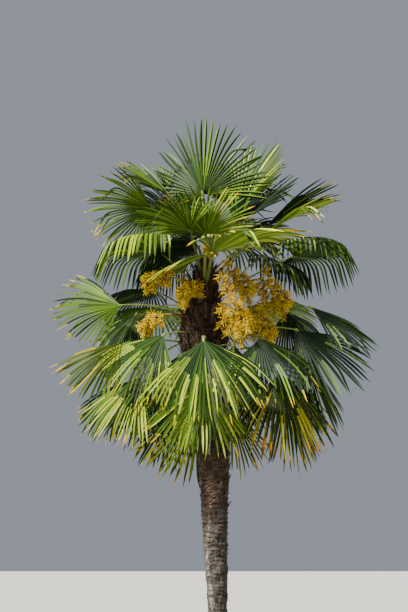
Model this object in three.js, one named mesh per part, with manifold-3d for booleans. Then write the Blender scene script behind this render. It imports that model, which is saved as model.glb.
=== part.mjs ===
// Fan palm tree: a leaning trunk with a fibre head, fan leaves on long stalks
// and hanging flower panicles. Millimetres, +Z up, ground at z = 0.
import * as THREE from "three";
import Module from "manifold-3d";

const wasm = await Module();
wasm.setup();

const UP = new THREE.Vector3(0, 0, 1);
const rad = THREE.MathUtils.degToRad;
const lerp = THREE.MathUtils.lerp;
const clamp = THREE.MathUtils.clamp;
const smooth = THREE.MathUtils.smoothstep;

// Trunk
const TRUNK_TOP = 4085;
const TRUNK_SIDES = 16;
const LEAN_START = 2400;
const LEAN_END = 3400;
const LEAN_SHIFT = -100;
const TRUNK_RADII = [
  [0, 122], [70, 104], [220, 88], [600, 80], [1200, 76], [1500, 84], [1650, 94],
  [1900, 97], [2150, 104], [2400, 116], [2800, 124], [3150, 150], [3350, 184],
  [3500, 172], [3650, 122], [3800, 100], [3950, 66], [4030, 42], [TRUNK_TOP, 24],
];
const STUB_COUNT = 18;
const STUB_LOW = 2040;
const STUB_HIGH = 2980;
const STUB_LENGTH = 66;
const GOLDEN_TURN = 137.508;

// Leaf stalks
const FIRST_STALK_HEIGHT = 4050;
const STALK_STEP = 26;
const STALK_SPANS = 4;
const STALK_BASE_WIDTH = 34;
const STALK_TIP_WIDTH = 18;
const STALK_DEPTH_RATIO = 0.72;
const CLEARANCE = 0.4;

// Leaf blades
const SEGMENT_STEP = 15;
const WIDEST_SPREAD = 150;
const STIFF_DROOP = 0.6;
const SIDE_SHORTENING = 0.34;
const SPLIT_CENTRE = 0.42;
const SPLIT_SIDE = 0.28;
const CUP_ANGLE = 7;
const FOLD_ANGLE = 14;
const KEEL_RATIO = 0.3;
const KEEL_LEAST = 7;
const RIDGE_THICKNESS = 7;
const HUB_THICKNESS = 14;
const LENGTH_FACTORS = [1, 0.85, 0.7, 0.55, 0.4, 0.2];

// Each leaf: stalk azimuth, stalk rise, stalk reach, blade azimuth, blade rise,
// blade roll, blade radius, droop, half spread. The list runs from the youngest leaf down.
const FRONT_LEAVES = [
  [261, 80, 550, 210, 75, 35, 700, 0.1, 108],
  [153, 62, 750, 170, 37, -35, 540, 0.3, 70],
  [49, 55, 735, 12, 55, 30, 790, 0.2, 72],
  [227, 65, 195, 181, -16, 10, 470, 0.6, 80],
  [177, 51, 725, 174, -10, 35, 600, 0.3, 80],
  [13, 58, 520, 8, 44, 30, 720, 0.2, 62],
  [273, 57, 370, 257, 30, 0, 540, 0.2, 108],
  [358, 42, 700, 0, 23, 0, 710, 0.2, 44],
  [76, 72, 905, 40, 74, -95, 500, 0.2, 75],
  [335, 35, 700, 345, 19, 15, 660, 0.2, 38],
  [249, 52, 525, 215, 15, 10, 500, 0.3, 85],
  [271, 35, 400, 177, -25, -10, 630, 0.4, 60],
  [192, 42, 525, 187, 0, 5, 750, 1.2, 100],
  [279, 32, 505, 343, 10, 10, 830, 0.5, 92],
  [350, 51, 780, 300, -68, -20, 310, 0.4, 60],
  [152, 71, 780, 173, 25, 15, 550, 0.5, 90],
  [29, 62, 655, 5, 12, -10, 630, 0.6, 95],
  [0, 32, 880, 0, 6, -5, 740, 1.3, 112],
  [165, 67, 595, 175, -35, 10, 630, 1.2, 95],
  [33, 46, 865, 15, -20, 20, 700, 1.2, 100],
  [196, 6, 710, 187, -12, -55, 600, 0.3, 66],
  [143, 33, 685, 142, -20, -5, 570, 0.5, 75],
  [8, 11, 710, 16, -68, 65, 600, 0.5, 66],
  [357, 11, 905, 350, -38, 25, 680, 0.3, 52],
  [168, 17, 610, 166, -65, -60, 620, 0.5, 66],
  [342, -1, 790, 348, -50, 50, 750, 0.3, 56],
  [228, -6, 475, 199, -53, -55, 710, 0.6, 50],
  [317, -6, 610, 309, -65, 25, 670, 0.6, 58],
  [270, -9, 650, 303, -78, 35, 760, 0.5, 62],
  [184, 2, 685, 190, -48, -55, 670, 0.3, 48],
  [232, -17, 345, 232, -78, -15, 620, 0.4, 60],
  [308, 1, 385, 280, -82, -10, 570, 0.3, 46],
  [10, 5, 840, 358, -74, 35, 780, 0.2, 44],
  [211, -18, 615, 199, -60, -45, 670, 0.3, 44],
  [173, -21, 500, 210, -80, -45, 590, 0.2, 46],
  [268, -25, 575, 228, -79, -40, 640, 0.3, 58],
  [331, -8, 675, 287, -82, 0, 770, 0.3, 50],
  [0, -17, 675, 350, -79, 35, 680, 0.2, 42],
  [25, 8, 390, 20, -84, 105, 500, 0.2, 50],
  [108, -56, 300, 187, -64, -75, 690, 0.2, 48],
];

// Rear tiers: leaf count, stalk height, first and last azimuth, stalk rise,
// stalk reach, blade rise, blade radius, droop, half spread.
const REAR_TIERS = [
  [2, 3850, 66, 112, 54, 620, 34, 600, 0.3, 95],
  [3, 3600, 52, 126, 16, 780, -24, 620, 0.5, 80],
  [4, 3440, 30, 146, -22, 780, -56, 660, 0.4, 62],
  [2, 3280, 62, 126, -44, 620, -80, 600, 0.2, 56],
];

// Each flower panicle: stalk azimuth, stalk height on the trunk, stalk rise,
// stalk reach, mass azimuth, mass rise, mass length, mass radius, spikes.
const PANICLES = [
  [312, 3740, 28, 330, 318, -50, 300, 120, 11],
  [342, 3660, 20, 520, 340, -50, 290, 115, 11],
  [302, 3560, 4, 410, 314, -64, 250, 120, 11],
  [330, 3520, 4, 490, 328, -72, 230, 105, 10],
  [216, 3680, 26, 400, 195, -20, 200, 80, 9],
  [210, 3500, 2, 430, 205, -45, 180, 72, 9],
  [248, 3660, 28, 260, 232, -40, 210, 85, 9],
  [290, 4040, 20, 170, 262, -20, 130, 52, 7],
];
const PANICLE_SIDES = 6;
const SPIKE_REACH = 1.25;
const SPIKE_WIDTH = 26;

const BARK_COLOUR = 0x6b5540;
const FLOWER_COLOUR = 0xe2b52c;
const GREENS = [0x2f5a2a, 0x44702c, 0x5f8a33, 0x3b6648];

function direction(azimuth, rise) {
  const flat = Math.cos(rad(rise));
  return new THREE.Vector3(
    flat * Math.cos(rad(azimuth)),
    flat * Math.sin(rad(azimuth)),
    Math.sin(rad(rise)),
  );
}

// A closed solid from corner points and faces of three or four corners.
function solidFrom(points, faces) {
  const corners = new Float32Array(points.flatMap((p) => [p.x, p.y, p.z]));
  const triangles = [];
  for (const face of faces) {
    triangles.push(face[0], face[1], face[2]);
    if (face.length === 4) triangles.push(face[0], face[2], face[3]);
  }
  const mesh = new wasm.Mesh({ numProp: 3, vertProperties: corners, triVerts: new Uint32Array(triangles) });
  return new wasm.Manifold(mesh);
}

// A tube through rings of equal length, closed by fans at both ends.
function ringSolid(rings) {
  const count = rings[0].length;
  const points = rings.flat();
  const faces = [];
  for (let r = 0; r + 1 < rings.length; r += 1) {
    for (let k = 0; k < count; k += 1) {
      const next = (k + 1) % count;
      const a = r * count;
      faces.push([a + k, a + next, a + count + next, a + count + k]);
    }
  }
  const last = (rings.length - 1) * count;
  for (let k = 1; k + 1 < count; k += 1) {
    faces.push([0, k + 1, k]);
    faces.push([last, last + k, last + k + 1]);
  }
  return solidFrom(points, faces);
}

function geometryFrom(solid) {
  const mesh = solid.getMesh();
  const geometry = new THREE.BufferGeometry();
  const corners = new Float32Array(mesh.vertProperties.length);
  corners.set(mesh.vertProperties);
  geometry.setAttribute("position", new THREE.BufferAttribute(corners, 3));
  geometry.setIndex(new THREE.BufferAttribute(new Uint32Array(mesh.triVerts), 1));
  geometry.computeVertexNormals();
  return geometry;
}

function trunkAxis(z) {
  const lean = LEAN_SHIFT * smooth(z, LEAN_START, LEAN_END);
  const sway = 12 * Math.sin(z / 520) * smooth(z, 0, 900);
  return new THREE.Vector3(lean + sway, 0, z);
}

function trunkRadius(z) {
  for (let k = 0; k + 1 < TRUNK_RADII.length; k += 1) {
    const [low, first] = TRUNK_RADII[k];
    const [high, second] = TRUNK_RADII[k + 1];
    if (z <= high) return lerp(first, second, clamp((z - low) / (high - low), 0, 1));
  }
  return TRUNK_RADII.at(-1)[1];
}

function trunkColumn(extra) {
  const rings = TRUNK_RADII.map(([z, radius], ring) => {
    const height = ring === TRUNK_RADII.length - 1 ? z + extra : z;
    const centre = trunkAxis(z).setZ(height);
    return Array.from({ length: TRUNK_SIDES }, (_, k) => {
      const angle = (360 * k) / TRUNK_SIDES;
      const lump = 1 + 0.03 * Math.sin(rad(2 * angle + z * 0.21));
      return direction(angle, 0).multiplyScalar(radius * lump + extra).add(centre);
    });
  });
  return ringSolid(rings);
}

// A short cut leaf base standing off the trunk.
function trunkStub(index) {
  const z = lerp(STUB_LOW, STUB_HIGH, (index + 0.5) / STUB_COUNT);
  const azimuth = index * GOLDEN_TURN;
  const out = direction(azimuth, 0);
  const side = new THREE.Vector3().crossVectors(UP, out);
  const foot = trunkAxis(z).addScaledVector(out, trunkRadius(z) - 16);
  const length = STUB_LENGTH * (0.8 + 0.35 * Math.sin(index * 2.4));
  const tip = foot.clone().addScaledVector(out, 16 + length * 0.42).addScaledVector(UP, length);
  const corner = (along, across) => foot.clone().addScaledVector(UP, along).addScaledVector(side, across);
  const points = [corner(-34, -4), corner(-8, 24), corner(14, 0), corner(-8, -24), tip];
  return solidFrom(points, [[0, 3, 2], [0, 2, 1], [0, 1, 4], [1, 2, 4], [2, 3, 4], [3, 0, 4]]);
}

function buildTrunk() {
  let trunk = trunkColumn(0);
  for (let k = 0; k < STUB_COUNT; k += 1) trunk = trunk.add(trunkStub(k));
  return trunk;
}

function leafList() {
  const leaves = FRONT_LEAVES.map((row, order) => {
    const [azimuth, rise, reach, bladeAzimuth, bladeRise, roll, radius, droop, spread] = row;
    const height = FIRST_STALK_HEIGHT - STALK_STEP * order;
    return { height, azimuth, rise, reach, bladeAzimuth, bladeRise, roll, radius, droop, spread };
  });
  for (const [count, height, first, last, rise, reach, bladeRise, radius, droop, spread] of REAR_TIERS) {
    for (let k = 0; k < count; k += 1) {
      const azimuth = count === 1 ? first : lerp(first, last, k / (count - 1));
      leaves.push({
        height: height - 14 * k,
        azimuth,
        rise,
        reach: reach * (1 + 0.06 * Math.cos(k * 2.1)),
        bladeAzimuth: azimuth,
        bladeRise,
        roll: 14 * Math.sin(k * 1.9 + height),
        radius,
        droop,
        spread,
      });
    }
  }
  return leaves.map((leaf, index) => ({ ...leaf, index, ...leafFrame(leaf) }));
}

// Where the stalk starts and ends, and the three axes of the blade.
function leafFrame(leaf) {
  const root = trunkAxis(leaf.height);
  const hub = root.clone().addScaledVector(direction(leaf.azimuth, leaf.rise), leaf.reach);
  const forward = direction(leaf.bladeAzimuth, leaf.bladeRise);
  const normal = direction(leaf.bladeAzimuth, leaf.bladeRise + 90).applyAxisAngle(forward, rad(leaf.roll));
  const side = new THREE.Vector3().crossVectors(forward, normal);
  return { root, hub, forward, normal, side };
}

function stalkSolid(leaf) {
  const arch = leaf.reach * lerp(0.2, 0.06, clamp((leaf.rise + 60) / 120, 0, 1));
  const bend = leaf.root.clone().lerp(leaf.hub, 0.5).addScaledVector(UP, arch);
  const curve = new THREE.QuadraticBezierCurve3(leaf.root, bend, leaf.hub);
  return curvedStalk(curve, STALK_SPANS, STALK_BASE_WIDTH, STALK_TIP_WIDTH, STALK_DEPTH_RATIO);
}

function segmentCount(leaf) {
  return Math.round((2 * leaf.spread) / SEGMENT_STEP);
}

function splitRadius(leaf, spread) {
  return leaf.radius * lerp(SPLIT_CENTRE, SPLIT_SIDE, spread * spread);
}

// The direction of a segment. The two halves of the fan fold up on a rising leaf
// and down on a hanging one.
function spoke(leaf, angle) {
  const fold = rad(FOLD_ANGLE) * leaf.forward.z;
  const beside = Math.sin(rad(angle));
  const folded = leaf.forward.clone().multiplyScalar(Math.cos(rad(angle)))
    .addScaledVector(leaf.side, beside * Math.cos(fold))
    .addScaledVector(leaf.normal, Math.abs(beside) * Math.sin(fold));
  return folded.multiplyScalar(Math.cos(rad(CUP_ANGLE))).addScaledVector(leaf.normal, Math.sin(rad(CUP_ANGLE)));
}

// Across a segment, in the plane of its half of the fan, towards smaller angles.
function acrossSegment(leaf, angle) {
  const fold = rad(FOLD_ANGLE) * leaf.forward.z;
  const along = Math.cos(rad(angle));
  return leaf.forward.clone().multiplyScalar(Math.sin(rad(angle)))
    .addScaledVector(leaf.side, -along * Math.cos(fold))
    .addScaledVector(leaf.normal, -Math.sign(angle) * along * Math.sin(fold)).normalize();
}

// Points along one drooping segment at the given distances from the hub.
function segmentPath(leaf, angle, full, distances) {
  const start = spoke(leaf, angle);
  const point = leaf.hub.clone();
  const found = [];
  const step = full / 24;
  let travelled = 0;
  for (const distance of distances) {
    while (travelled < distance - 1e-6) {
      const stride = Math.min(step, distance - travelled);
      const sag = leaf.droop * smooth((travelled + stride / 2) / full, 0.3, 0.9);
      const heading = start.clone().addScaledVector(UP, -sag).normalize();
      point.addScaledVector(heading, stride);
      travelled += stride;
    }
    const sag = leaf.droop * smooth(travelled / full, 0.3, 0.9);
    found.push({ point: point.clone(), heading: start.clone().addScaledVector(UP, -sag).normalize() });
  }
  return found;
}

// One run of neighbouring blade segments, closed at both sides.
function bladeRun(leaf, first, lengths) {
  const count = segmentCount(leaf);
  const angleStep = (2 * leaf.spread) / count;
  const points = [leaf.hub.clone(), leaf.hub.clone().addScaledVector(leaf.normal, -HUB_THICKNESS)];
  const faces = [];
  const add = (point) => points.push(point) - 1;
  const ridge = (index) => {
    const angle = -leaf.spread + angleStep * index;
    const reach = splitRadius(leaf, angle / WIDEST_SPREAD);
    const top = leaf.hub.clone().addScaledVector(spoke(leaf, angle), reach);
    return [add(top), add(top.clone().addScaledVector(leaf.normal, -RIDGE_THICKNESS))];
  };
  let left = ridge(first);
  faces.push([0, 1, left[1]], [0, left[1], left[0]]);
  lengths.forEach((factor, k) => {
    const angle = -leaf.spread + angleStep * (first + k + 0.5);
    const spread = Math.abs(angle / WIDEST_SPREAD);
    const full = leaf.radius * (1 - SIDE_SHORTENING * spread ** 1.6);
    const split = splitRadius(leaf, spread);
    const tip = lerp(split, full, factor);
    const width = 2 * split * Math.sin(rad(angleStep / 2));
    const right = ridge(first + k + 1);
    const shares = leaf.droop > STIFF_DROOP ? [0.4, 0.76] : [0.45];
    const stations = [0, ...shares, 1].map((share) => lerp(split, tip, share));
    const path = segmentPath(leaf, angle, full, stations);
    const keelDepth = Math.max(KEEL_LEAST, width * KEEL_RATIO);
    const keel = add(path[0].point.clone().addScaledVector(leaf.normal, -keelDepth - 2));
    faces.push([0, left[0], right[0]], [1, keel, left[1]], [1, right[1], keel]);
    let row = { left: left[0], right: right[0], keel };
    const outward = acrossSegment(leaf, angle);
    for (let s = 1; s <= shares.length; s += 1) {
      const share = shares[s - 1];
      const half = (width / 2) * (1 + 0.35 * share) * (1 - share ** 2);
      const { point, heading } = path[s];
      const across = outward.clone().addScaledVector(heading, -outward.dot(heading)).normalize();
      const above = new THREE.Vector3().crossVectors(heading, across).normalize();
      const depth = Math.max(KEEL_LEAST, keelDepth * (1 - 0.5 * share));
      const next = {
        left: add(point.clone().addScaledVector(across, half)),
        right: add(point.clone().addScaledVector(across, -half)),
        keel: add(point.clone().addScaledVector(above, -depth)),
      };
      faces.push([row.left, next.left, next.right, row.right]);
      if (s === 1) {
        faces.push([left[0], left[1], next.left], [left[1], keel, next.keel, next.left]);
        faces.push([right[1], right[0], next.right], [keel, right[1], next.right, next.keel]);
      } else {
        faces.push([row.left, row.keel, next.keel, next.left], [row.keel, row.right, next.right, next.keel]);
      }
      row = next;
    }
    const end = add(path.at(-1).point);
    faces.push([row.left, end, row.right], [row.left, row.keel, end], [row.keel, row.right, end]);
    left = right;
  });
  faces.push([0, left[0], left[1]], [0, left[1], 1]);
  return solidFrom(points, faces.map((face) => face.reverse()));
}

function boxesMeet(first, second) {
  const a = first.boundingBox();
  const b = second.boundingBox();
  return [0, 1, 2].every((k) => a.min[k] - 1 < b.max[k] && b.min[k] - 1 < a.max[k]);
}

function isClear(solid, others) {
  return others.every((other) => !boxesMeet(solid, other) || solid.minGap(other, 1) >= CLEARANCE);
}

// The blade, each segment as long as the room between its neighbours allows.
function bladeRuns(leaf, others) {
  const count = segmentCount(leaf);
  const lengths = [];
  for (let k = 0; k < count; k += 1) {
    const fits = LENGTH_FACTORS.find((factor) => isClear(bladeRun(leaf, k, [factor]), others));
    lengths.push(fits ?? 0);
  }
  const runs = [];
  let start = 0;
  while (start < count) {
    let end = start;
    while (end < count && lengths[end] > 0) end += 1;
    if (end > start) runs.push(bladeRun(leaf, start, lengths.slice(start, end)));
    start = end + 1;
  }
  return runs;
}

function hubKnob(leaf) {
  const centre = leaf.hub.clone().addScaledVector(leaf.normal, -HUB_THICKNESS / 2);
  const corner = (axis, length) => centre.clone().addScaledVector(axis, length);
  const points = [
    corner(leaf.forward, 34), corner(leaf.side, 20), corner(leaf.forward, -26), corner(leaf.side, -20),
    corner(leaf.normal, 12), corner(leaf.normal, -14),
  ];
  const faces = [[0, 4, 1], [1, 4, 2], [2, 4, 3], [3, 4, 0], [0, 1, 5], [1, 2, 5], [2, 3, 5], [3, 0, 5]];
  return solidFrom(points, faces);
}

// A four-sided stalk whose corners lie across and above its curve.
function curvedStalk(curve, spans, baseWidth, tipWidth, depthRatio) {
  const rings = [];
  for (let k = 0; k <= spans; k += 1) {
    const t = k / spans;
    const along = curve.getTangent(t);
    const across = new THREE.Vector3().crossVectors(along, UP).normalize();
    const above = new THREE.Vector3().crossVectors(across, along);
    const half = lerp(baseWidth, tipWidth, t) / 2;
    const centre = curve.getPoint(t);
    const corner = (a, b) => centre.clone().addScaledVector(across, a * half)
      .addScaledVector(above, b * half * depthRatio);
    rings.push([corner(1, 0), corner(0, -1), corner(-1, 0), corner(0, 1)]);
  }
  return ringSolid(rings);
}

// A three-sided flower spike that hangs over from its foot.
function spikeSolid(foot, out, length, width) {
  const bend = foot.clone().addScaledVector(out, length * 0.55).addScaledVector(UP, length * 0.06);
  const tip = foot.clone().addScaledVector(out, length * 0.85).addScaledVector(UP, -length * 0.45);
  const across = new THREE.Vector3().crossVectors(out, UP).normalize();
  const above = new THREE.Vector3().crossVectors(across, out).normalize();
  const triangle = (centre, size) => [90, 210, 330].map((angle) => centre.clone()
    .addScaledVector(across, -size * Math.cos(rad(angle)))
    .addScaledVector(above, size * Math.sin(rad(angle))));
  const points = [...triangle(foot, width * 0.4), ...triangle(bend, width * 0.6), tip];
  const faces = [[0, 2, 1], [0, 1, 4, 3], [1, 2, 5, 4], [2, 0, 3, 5], [3, 4, 6], [4, 5, 6], [5, 3, 6]];
  return solidFrom(points, faces);
}

// The stalk of a panicle, the dense core of its mass and the spikes round it.
function panicleParts(row) {
  const [azimuth, height, rise, reach, massAzimuth, massRise, massLength, massRadius, spikes] = row;
  const root = trunkAxis(height);
  const start = root.clone().addScaledVector(direction(azimuth, rise), reach);
  const bend = root.clone().lerp(start, 0.5).addScaledVector(UP, reach * 0.14);
  const stalk = curvedStalk(new THREE.QuadraticBezierCurve3(root, bend, start), 3, 30, 20, 0.8);
  const along = direction(massAzimuth, massRise);
  const across = direction(massAzimuth + 90, 0);
  const above = new THREE.Vector3().crossVectors(along, across);
  const bulge = [[-0.06, 0.15], [0.2, 0.7], [0.65, 0.68], [1, 0.12]];
  const core = ringSolid(bulge.map(([share, size], ring) => Array.from({ length: PANICLE_SIDES }, (_, k) => {
    const angle = rad((360 * (k + (ring % 2) * 0.5)) / PANICLE_SIDES);
    const radius = massRadius * size * (1 + 0.12 * Math.sin(k * 2.6 + ring));
    return start.clone().addScaledVector(along, massLength * share)
      .addScaledVector(across, radius * Math.cos(angle)).addScaledVector(above, radius * Math.sin(angle));
  })));
  const sprays = [];
  for (let k = 0; k < spikes; k += 1) {
    const share = (k + 0.5) / spikes;
    const angle = rad(k * GOLDEN_TURN);
    const out = across.clone().multiplyScalar(Math.cos(angle)).addScaledVector(above, Math.sin(angle))
      .addScaledVector(along, lerp(-0.2, 1.1, share)).normalize();
    const foot = start.clone().addScaledVector(along, massLength * lerp(0.08, 0.9, share))
      .addScaledVector(out, massRadius * 0.2);
    const length = massRadius * SPIKE_REACH * (0.85 + 0.25 * Math.sin(k * 1.7)) * (1 - 0.25 * share);
    sprays.push(spikeSolid(foot, out, length, SPIKE_WIDTH));
  }
  return { body: stalk.add(core), sprays };
}

function meshFrom(name, solid, colour, roughness) {
  const material = new THREE.MeshStandardMaterial({ color: colour, roughness, metalness: 0 });
  const mesh = new THREE.Mesh(geometryFrom(solid), material);
  mesh.name = name;
  return mesh;
}

const tree = new THREE.Group();
tree.name = "fan_palm_tree";

const trunk = buildTrunk();
tree.add(meshFrom("trunk", trunk, BARK_COLOUR, 0.95));

const cutter = trunkColumn(CLEARANCE);
const leaves = leafList();
for (const leaf of leaves) leaf.stalk = stalkSolid(leaf).subtract(cutter).add(hubKnob(leaf));
const placed = [trunk, ...leaves.map((leaf) => leaf.stalk)];
const panicles = PANICLES.map(panicleParts);
for (const panicle of panicles) {
  panicle.body = panicle.body.subtract(cutter);
  placed.push(panicle.body);
}
panicles.forEach((panicle, index) => {
  const others = placed.filter((other) => other !== panicle.body);
  const fitting = panicle.sprays.filter((spray) => isClear(spray, others));
  const solid = fitting.reduce((whole, spray) => whole.add(spray), panicle.body);
  placed[placed.indexOf(panicle.body)] = solid;
  tree.add(meshFrom(`panicle_${index + 1}`, solid, FLOWER_COLOUR, 0.8));
});

// Leaves nearer the front take their room first.
const frontFirst = [...leaves].sort((a, b) => a.hub.y - b.hub.y);
for (const leaf of frontFirst) {
  const others = placed.filter((other) => other !== leaf.stalk);
  const solid = bladeRuns(leaf, others).reduce((whole, run) => whole.add(run), leaf.stalk);
  placed[placed.indexOf(leaf.stalk)] = solid;
  const name = `leaf_${String(leaf.index + 1).padStart(2, "0")}`;
  tree.add(meshFrom(name, solid, GREENS[leaf.index % GREENS.length], 0.6));
}

export default tree;
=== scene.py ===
# Looks of the fan palm tree: finer leaf segments, flower sprays and the trunk's relief,
# grown by the same rules as its solids. Metres, +Z up, ground at z = 0. Angles in degrees,
# azimuths from +X round +Z.
import math

import bpy
import numpy as np
from mathutils.bvhtree import BVHTree
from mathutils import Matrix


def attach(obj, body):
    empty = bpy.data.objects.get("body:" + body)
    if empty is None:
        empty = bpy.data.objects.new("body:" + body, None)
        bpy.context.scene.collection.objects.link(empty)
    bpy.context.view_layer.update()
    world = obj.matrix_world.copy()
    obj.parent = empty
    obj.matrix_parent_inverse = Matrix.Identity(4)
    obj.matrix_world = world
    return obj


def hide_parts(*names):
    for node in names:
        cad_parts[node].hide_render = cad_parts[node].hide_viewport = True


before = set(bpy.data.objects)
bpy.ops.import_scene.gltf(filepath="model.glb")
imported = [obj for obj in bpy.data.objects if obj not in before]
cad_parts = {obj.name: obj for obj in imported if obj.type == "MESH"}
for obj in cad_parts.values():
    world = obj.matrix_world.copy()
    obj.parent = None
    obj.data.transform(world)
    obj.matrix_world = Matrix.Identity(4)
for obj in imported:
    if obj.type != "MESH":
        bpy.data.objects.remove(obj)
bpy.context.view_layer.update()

UP = np.array([0.0, 0.0, 1.0])
GOLDEN_TURN = 137.508

# Trunk
TRUNK_TOP = 4.085
LEAN_START = 2.4
LEAN_END = 3.4
LEAN_SHIFT = -0.1
TRUNK_RADII = np.array([
    (0, 0.122), (0.07, 0.104), (0.22, 0.088), (0.6, 0.080), (1.2, 0.076), (1.5, 0.084),
    (1.65, 0.094), (1.9, 0.097), (2.15, 0.104), (2.4, 0.116), (2.8, 0.124), (3.15, 0.150),
    (3.35, 0.184), (3.5, 0.172), (3.65, 0.122), (3.8, 0.100), (3.95, 0.066), (4.03, 0.042),
    (TRUNK_TOP, 0.024),
])
TRUNK_ROWS = 640
TRUNK_COLUMNS = 128
SCAR_SPACING = 0.031
RIDGE_AZIMUTH = 236
MAT_LOW = 2.05
HEAD_LOW = 2.95

# Leaf bases, hairs and torn sheaths on the trunk
STUB_COUNT = 96
STUB_LOW = 2.02
STUB_HIGH = 3.42
STUB_SUNK = 0.014
HAIR_COUNT = 5200
HAIR_LOW = 1.55
HAIR_HIGH = 4.0
HAIR_SUNK = 0.004
SHEATH_COUNT = 330
SHEATH_LOW = 2.95
SHEATH_HIGH = 3.95
SHEATH_SUNK = 0.006

# Leaf stalks
FIRST_STALK_HEIGHT = 4.05
STALK_STEP = 0.026
STALK_BASE_WIDTH = 0.034
STALK_TIP_WIDTH = 0.018
STALK_FLATNESS = 0.62
VISIBLE_SHARE = 0.92
TEETH_PER_SIDE = 24

# Leaf blades: FINER_SEGMENTS stand for one segment of the solid, one more on the leaves whose
# colour is striped with painted highlights. A segment that its solid stops short keeps LEAST_SHARE.
# The first UPPER_LEAVES leaves make one piece and the rest another. A blade hangs below
# HANGING_RISE, and its tips are limp above LIMP_DROOP. Each segment ends at random between
# LEAST_REACH, or LEAST_HANGING_REACH, and all of its free length.
SEGMENT_STEP = 15
FINER_SEGMENTS = 3
GLINT_STRIPED_SEGMENTS = 4
LEAST_SHARE = 0.75
UPPER_LEAVES = 14
HANGING_RISE = -30
LIMP_DROOP = 1
LEAST_REACH = 0.86
LEAST_HANGING_REACH = 0.74
WIDEST_SPREAD = 150
SIDE_SHORTENING = 0.34
SPLIT_CENTRE = 0.42
SPLIT_SIDE = 0.28
FINE_SPLIT = 0.86
CUP_ANGLE = 7
FOLD_ANGLE = 14
SEGMENT_THICKNESS = 0.0016
LENGTH_FACTORS = (1, 0.85, 0.7, 0.55, 0.4, 0.2)
TIP_TOLERANCE = 0.004

# Each leaf: stalk azimuth, stalk rise, stalk reach, blade azimuth, blade rise, blade roll,
# blade radius, droop, half spread, colour of the blade, colour of the tips. The colour of the
# blade is partly the leaf's own green and partly painted light: darker for leaves that stand
# in shade, lighter for sunlit ones.
FRONT_LEAVES = [
    (261, 80, 0.550, 210, 75, 35, 0.700, 0.1, 108, "mid", "none"),
    (153, 62, 0.750, 170, 37, -35, 0.540, 0.3, 70, "mid", "yellow"),
    (49, 55, 0.735, 12, 55, 30, 0.790, 0.2, 72, "lime", "none"),
    (227, 65, 0.195, 181, -16, 10, 0.470, 0.6, 80, "deep", "none"),
    (177, 51, 0.725, 174, -10, 35, 0.600, 0.3, 80, "bright", "yellow"),
    (13, 58, 0.520, 8, 44, 30, 0.720, 0.2, 62, "deep", "none"),
    (273, 57, 0.370, 257, 30, 0, 0.540, 0.2, 108, "lime", "orange"),
    (358, 42, 0.700, 0, 23, 0, 0.710, 0.2, 44, "deep", "yellow"),
    (76, 72, 0.905, 40, 74, -95, 0.500, 0.2, 75, "deep", "none"),
    (335, 35, 0.700, 345, 19, 15, 0.660, 0.2, 38, "lime", "yellow"),
    (249, 52, 0.525, 215, 15, 10, 0.500, 0.3, 85, "bright", "none"),
    (271, 35, 0.400, 177, -25, -10, 0.630, 0.4, 60, "lime", "orange"),
    (192, 42, 0.525, 187, 0, 5, 0.750, 1.2, 100, "bright", "none"),
    (279, 32, 0.505, 343, 10, 10, 0.830, 0.5, 92, "lime", "orange"),
    (350, 51, 0.780, 300, -68, -20, 0.310, 0.4, 60, "pale", "none"),
    (152, 71, 0.780, 173, 25, 15, 0.550, 0.5, 90, "mid", "none"),
    (29, 62, 0.655, 5, 12, -10, 0.630, 0.6, 95, "deep", "none"),
    (0, 32, 0.880, 0, 6, -5, 0.740, 1.3, 112, "mid", "none"),
    (165, 67, 0.595, 175, -35, 10, 0.630, 1.2, 95, "deep", "none"),
    (33, 46, 0.865, 15, -20, 20, 0.700, 1.2, 100, "deep", "none"),
    (196, 6, 0.710, 187, -12, -55, 0.600, 0.3, 66, "mid", "yellow"),
    (143, 33, 0.685, 142, -20, -5, 0.570, 0.5, 75, "mid", "none"),
    (8, 11, 0.710, 16, -68, 65, 0.600, 0.5, 66, "deep", "none"),
    (357, 11, 0.905, 350, -38, 25, 0.680, 0.3, 52, "blue", "none"),
    (168, 17, 0.610, 166, -65, -60, 0.620, 0.5, 66, "deep", "none"),
    (342, -1, 0.790, 348, -50, 50, 0.750, 0.3, 56, "blue", "none"),
    (228, -6, 0.475, 199, -53, -55, 0.710, 0.6, 50, "striped", "yellow"),
    (317, -6, 0.610, 309, -65, 25, 0.670, 0.6, 58, "deep", "yellow"),
    (270, -9, 0.650, 303, -78, 35, 0.760, 0.5, 62, "striped", "yellow"),
    (184, 2, 0.685, 190, -48, -55, 0.670, 0.3, 48, "olive", "orange"),
    (232, -17, 0.345, 232, -78, -15, 0.620, 0.4, 60, "deep", "none"),
    (308, 1, 0.385, 280, -82, -10, 0.570, 0.3, 46, "pale", "none"),
    (10, 5, 0.840, 358, -74, 35, 0.780, 0.2, 44, "deep", "none"),
    (211, -18, 0.615, 199, -60, -45, 0.670, 0.3, 44, "striped", "orange"),
    (173, -21, 0.500, 210, -80, -45, 0.590, 0.2, 46, "deep", "none"),
    (268, -25, 0.575, 228, -79, -40, 0.640, 0.3, 58, "bright", "yellow"),
    (331, -8, 0.675, 287, -82, 0, 0.770, 0.3, 50, "olive", "brown"),
    (0, -17, 0.675, 350, -79, 35, 0.680, 0.2, 42, "olive", "brown"),
    (25, 8, 0.390, 20, -84, 105, 0.500, 0.2, 50, "deep", "none"),
    (108, -56, 0.300, 187, -64, -75, 0.690, 0.2, 48, "lime", "yellow"),
]

# Rear tiers: leaf count, stalk height, first and last azimuth, stalk rise, stalk reach,
# blade rise, blade radius, droop, half spread, colour of the blade, colour of the tips.
REAR_TIERS = [
    (2, 3.850, 66, 112, 54, 0.620, 34, 0.600, 0.3, 95, "mid", "none"),
    (3, 3.600, 52, 126, 16, 0.780, -24, 0.620, 0.5, 80, "bright", "none"),
    (4, 3.440, 30, 146, -22, 0.780, -56, 0.660, 0.4, 62, "mid", "yellow"),
    (2, 3.280, 62, 126, -44, 0.620, -80, 0.600, 0.2, 56, "olive", "orange"),
]

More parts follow.
